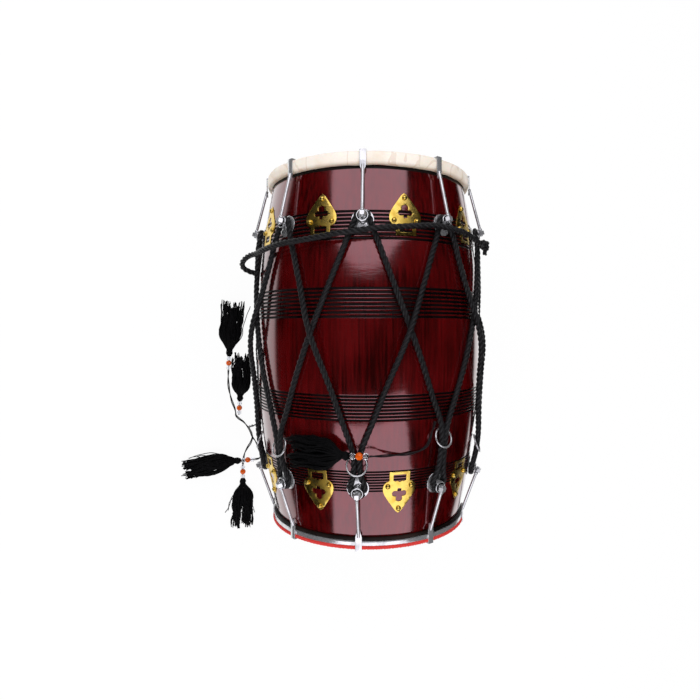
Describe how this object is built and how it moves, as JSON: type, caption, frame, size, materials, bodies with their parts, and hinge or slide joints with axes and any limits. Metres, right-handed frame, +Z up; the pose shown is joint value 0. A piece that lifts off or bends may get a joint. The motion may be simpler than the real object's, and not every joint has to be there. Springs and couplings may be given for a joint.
{
  "type": "dhol",
  "caption": "Two-headed barrel drum with tuning hooks, rope lacing, sliding rings and a garland of beads and yarn tassels, lying on its side.",
  "frame": {"origin": "centre of the drum on the ground that it lies on, without its free cords and tassels", "axes": "+Y along the drum towards the treble head, +Z up, +X to the right seen from above with the treble head away"},
  "size_m": [0.5704, 0.6968, 0.4404],
  "materials": {
    "lacquered_wood": "dark red high-gloss lacquer, black in the turned grooves",
    "rawhide": "cream rawhide, matte, tan at the rim",
    "black_hide": "black-faced hide, satin",
    "chrome": "polished chrome plate",
    "brass": "bright pressed brass",
    "red_cord": "bright red braided cord",
    "black_rope": "twisted black rope with a slight sheen",
    "black_yarn": "soft black yarn",
    "clear_bead": "clear cut glass",
    "orange_bead": "clear orange glass"
  },
  "bodies": {
    "drum": {"shell": "lacquered_wood", "treble_skin": "rawhide", "treble_hoop": "chrome", "bass_skin": "black_hide", "bass_hoop": "chrome", "bass_trim": "red_cord", "lacing_rope": "black_rope", "top_hook_1": "chrome", "top_hook_2": "chrome", "top_hook_3": "chrome", "top_hook_4": "chrome", "top_hook_5": "chrome", "top_hook_6": "chrome", "top_hook_7": "chrome", "top_hook_8": "chrome", "top_hook_9": "chrome", "bottom_hook_1": "chrome", "bottom_hook_2": "chrome", "bottom_hook_3": "chrome", "bottom_hook_4": "chrome", "bottom_hook_5": "chrome", "bottom_hook_6": "chrome", "bottom_hook_7": "chrome", "bottom_hook_8": "chrome", "bottom_hook_9": "chrome", "strap_rope": "black_rope", "garland_front": "black_yarn", "garland_left": "black_yarn"},
    "top_nut_1": {"top_nut_1": "chrome"},
    "top_nut_2": {"top_nut_2": "chrome"},
    "top_nut_3": {"top_nut_3": "chrome"},
    "top_nut_4": {"top_nut_4": "chrome"},
    "top_nut_5": {"top_nut_5": "chrome"},
    "top_nut_6": {"top_nut_6": "chrome"},
    "top_nut_7": {"top_nut_7": "chrome"},
    "top_nut_8": {"top_nut_8": "chrome"},
    "top_nut_9": {"top_nut_9": "chrome"},
    "bottom_nut_1": {"bottom_nut_1": "chrome"},
    "bottom_nut_2": {"bottom_nut_2": "chrome"},
    "bottom_nut_3": {"bottom_nut_3": "chrome"},
    "bottom_nut_4": {"bottom_nut_4": "chrome"},
    "bottom_nut_5": {"bottom_nut_5": "chrome"},
    "bottom_nut_6": {"bottom_nut_6": "chrome"},
    "bottom_nut_7": {"bottom_nut_7": "chrome"},
    "bottom_nut_8": {"bottom_nut_8": "chrome"},
    "bottom_nut_9": {"bottom_nut_9": "chrome"},
    "ring_1": {"ring_1": "chrome"},
    "ring_2": {"ring_2": "chrome"},
    "ring_3": {"ring_3": "chrome"},
    "ring_4": {"ring_4": "chrome"},
    "ring_5": {"ring_5": "chrome"},
    "ring_6": {"ring_6": "chrome"},
    "ring_7": {"ring_7": "chrome"},
    "ring_8": {"ring_8": "chrome"},
    "ring_9": {"ring_9": "chrome"},
    "tassel_1": {"tassel_1": "black_yarn"},
    "tassel_2": {"tassel_2": "black_yarn"},
    "tassel_3": {"tassel_3": "black_yarn"},
    "tassel_4": {"tassel_4": "black_yarn"},
    "tassel_5": {"tassel_5": "black_yarn"}
  },
  "joints": [
    {"name": "top_nut_1_turn", "type": "hinge", "parent": "drum", "child": "top_nut_1", "pos_m": [-0.06384, 0.20419, 0.41452], "axis": [-0.0766, -0.971, 0.2267], "continuous": true},
    {"name": "top_nut_2_turn", "type": "hinge", "parent": "drum", "child": "top_nut_2", "pos_m": [0.07833, 0.20425, 0.40919], "axis": [0.0943, -0.9709, 0.2202], "continuous": true},
    {"name": "top_nut_3_turn", "type": "hinge", "parent": "drum", "child": "top_nut_3", "pos_m": [0.18381, 0.20537, 0.31372], "axis": [0.2211, -0.9695, 0.1055], "continuous": true},
    {"name": "top_nut_4_turn", "type": "hinge", "parent": "drum", "child": "top_nut_4", "pos_m": [0.20324, 0.20702, 0.17279], "axis": [0.2444, -0.9676, -0.0639], "continuous": true},
    {"name": "top_nut_5_turn", "type": "hinge", "parent": "drum", "child": "top_nut_5", "pos_m": [0.12753, 0.20842, 0.05234], "axis": [0.1534, -0.9659, -0.2087], "continuous": true},
    {"name": "top_nut_6_turn", "type": "hinge", "parent": "drum", "child": "top_nut_6", "pos_m": [-0.00789, 0.20894, 0.00873], "axis": [-0.0094, -0.9652, -0.2612], "continuous": true},
    {"name": "top_nut_7_turn", "type": "hinge", "parent": "drum", "child": "top_nut_7", "pos_m": [-0.13967, 0.20831, 0.06237], "axis": [-0.1678, -0.966, -0.1967], "continuous": true},
    {"name": "top_nut_8_turn", "type": "hinge", "parent": "drum", "child": "top_nut_8", "pos_m": [-0.20613, 0.20684, 0.18815], "axis": [-0.2477, -0.9678, -0.0455], "continuous": true},
    {"name": "top_nut_9_turn", "type": "hinge", "parent": "drum", "child": "top_nut_9", "pos_m": [-0.17619, 0.20521, 0.32723], "axis": [-0.2117, -0.9697, 0.1217], "continuous": true},
    {"name": "bottom_nut_1_turn", "type": "hinge", "parent": "drum", "child": "bottom_nut_1", "pos_m": [-0.06996, -0.21837, 0.401], "axis": [-0.1179, 0.9364, 0.3305], "continuous": true},
    {"name": "bottom_nut_2_turn", "type": "hinge", "parent": "drum", "child": "bottom_nut_2", "pos_m": [0.06813, -0.21838, 0.40161], "axis": [0.1151, 0.9364, 0.3315], "continuous": true},
    {"name": "bottom_nut_3_turn", "type": "hinge", "parent": "drum", "child": "bottom_nut_3", "pos_m": [0.1743, -0.21735, 0.31331], "axis": [0.2942, 0.9381, 0.1826], "continuous": true},
    {"name": "bottom_nut_4_turn", "type": "hinge", "parent": "drum", "child": "bottom_nut_4", "pos_m": [0.19887, -0.21576, 0.17743], "axis": [0.3357, 0.9408, -0.0467], "continuous": true},
    {"name": "bottom_nut_5_turn", "type": "hinge", "parent": "drum", "child": "bottom_nut_5", "pos_m": [0.13035, -0.21435, 0.05755], "axis": [0.2201, 0.9432, -0.2489], "continuous": true},
    {"name": "bottom_nut_6_turn", "type": "hinge", "parent": "drum", "child": "bottom_nut_6", "pos_m": [0.00079, -0.2138, 0.00975], "axis": [0.0015, 0.9441, -0.3296], "continuous": true},
    {"name": "bottom_nut_7_turn", "type": "hinge", "parent": "drum", "child": "bottom_nut_7", "pos_m": [-0.12918, -0.21434, 0.05641], "axis": [-0.2178, 0.9432, -0.2508], "continuous": true},
    {"name": "bottom_nut_8_turn", "type": "hinge", "parent": "drum", "child": "bottom_nut_8", "pos_m": [-0.19875, -0.21574, 0.1757], "axis": [-0.3351, 0.9409, -0.0496], "continuous": true},
    {"name": "bottom_nut_9_turn", "type": "hinge", "parent": "drum", "child": "bottom_nut_9", "pos_m": [-0.17536, -0.21733, 0.31178], "axis": [-0.2957, 0.9382, 0.18], "continuous": true},
    {"name": "ring_1_slide", "type": "slide", "parent": "drum", "child": "ring_1", "axis": [0.0484, -0.9886, -0.1428], "range_m": [0, 0.008]},
    {"name": "ring_2_slide", "type": "slide", "parent": "drum", "child": "ring_2", "axis": [-0.0428, -0.9905, -0.1307], "range_m": [0, 0.044]},
    {"name": "ring_3_slide", "type": "slide", "parent": "drum", "child": "ring_3", "axis": [-0.1202, -0.9894, -0.0816], "range_m": [0, 0.01]},
    {"name": "ring_4_slide", "type": "slide", "parent": "drum", "child": "ring_4", "axis": [-0.1342, -0.9909, 0.0115], "range_m": [0, 0.018]},
    {"name": "ring_5_slide", "type": "slide", "parent": "drum", "child": "ring_5", "axis": [-0.0861, -0.9922, 0.0901], "range_m": [0, 0.026]},
    {"name": "ring_6_slide", "type": "slide", "parent": "drum", "child": "ring_6", "axis": [-0.0006, -0.9934, 0.1149], "range_m": [0, 0.044]},
    {"name": "ring_7_slide", "type": "slide", "parent": "drum", "child": "ring_7", "axis": [0.0871, -0.9918, 0.0931], "range_m": [0, 0.018]},
    {"name": "ring_8_slide", "type": "slide", "parent": "drum", "child": "ring_8", "axis": [0.1369, -0.9905, 0.0132], "range_m": [0, 0.01]},
    {"name": "ring_9_slide", "type": "slide", "parent": "drum", "child": "ring_9", "axis": [0.1163, -0.9901, -0.078], "range_m": [0, 0.024]},
    {"name": "tassel_1_lift", "type": "hinge", "parent": "drum", "child": "tassel_1", "pos_m": [-0.25271, -0.04541, 0.0063], "axis": [0.9986, -0.0523, 0], "range_deg": [0, 70]},
    {"name": "tassel_2_lift", "type": "hinge", "parent": "drum", "child": "tassel_2", "pos_m": [-0.23095, -0.142, 0.0063], "axis": [0.9976, -0.0698, 0], "range_deg": [0, 60]},
    {"name": "tassel_3_lift", "type": "hinge", "parent": "drum", "child": "tassel_3", "pos_m": [-0.2031, -0.2436, 0.0108], "axis": [-0.0349, 0.9994, 0], "range_deg": [0, 70]},
    {"name": "tassel_4_lift", "type": "hinge", "parent": "drum", "child": "tassel_4", "pos_m": [-0.223, -0.2596, 0.0063], "axis": [-1, 0, 0], "range_deg": [0, 70]},
    {"name": "tassel_5_lift", "type": "hinge", "parent": "drum", "child": "tassel_5", "pos_m": [-0.0603, -0.15638, 0.4184], "axis": [0, 0.9999, 0.0117], "range_deg": [0, 75]}
  ]
}
